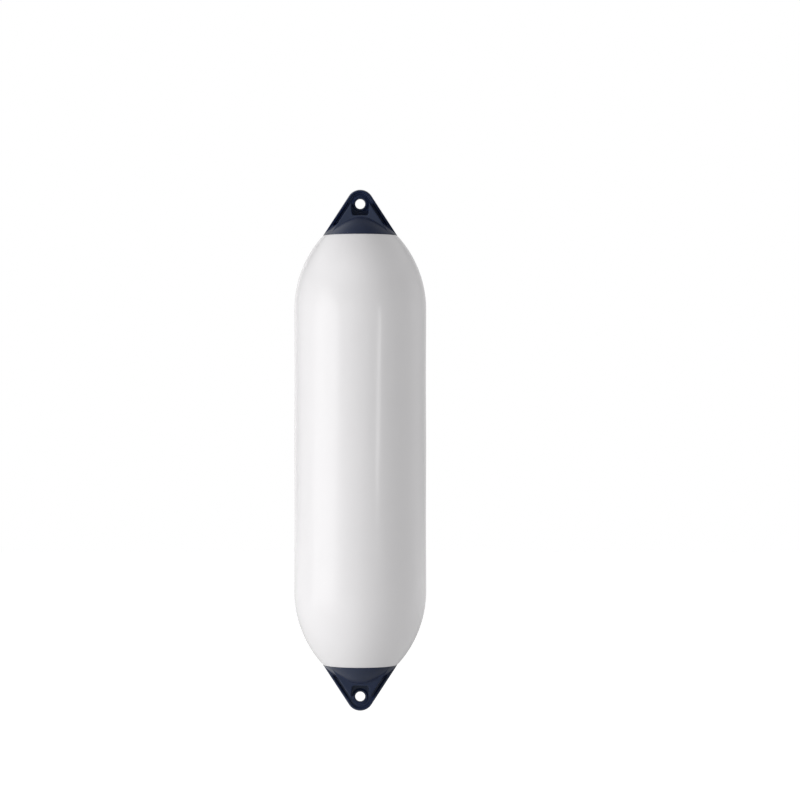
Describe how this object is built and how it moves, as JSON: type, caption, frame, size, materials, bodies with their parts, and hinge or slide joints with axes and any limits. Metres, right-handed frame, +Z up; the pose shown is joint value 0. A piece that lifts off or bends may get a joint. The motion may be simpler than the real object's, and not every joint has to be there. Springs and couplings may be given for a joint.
{
  "type": "boat fender",
  "caption": "Long inflated vinyl boat fender, a smooth cylinder with round shoulders and a moulded rope eye at each end, hung over the side to cushion a hull against a dock.",
  "frame": {"origin": "middle of the fender, halfway between its two tips and on its long axis", "axes": "+Z up along the fender as it hangs, X across the flat lugs, Y through both eyes, front at -Y"},
  "size_m": [0.152, 0.152, 0.6],
  "materials": {
    "white_vinyl": "satin",
    "navy_vinyl": "satin",
    "valve_nylon": "satin",
    "valve_rubber": "matte",
    "valve_brass": "satin"
  },
  "bodies": {
    "root": {"body": "white_vinyl", "upper_rope_hold": "navy_vinyl", "lower_rope_hold": "navy_vinyl", "valve_insert": "valve_nylon", "valve_seal": "valve_rubber", "valve_screw": "valve_brass"}
  },
  "joints": []
}
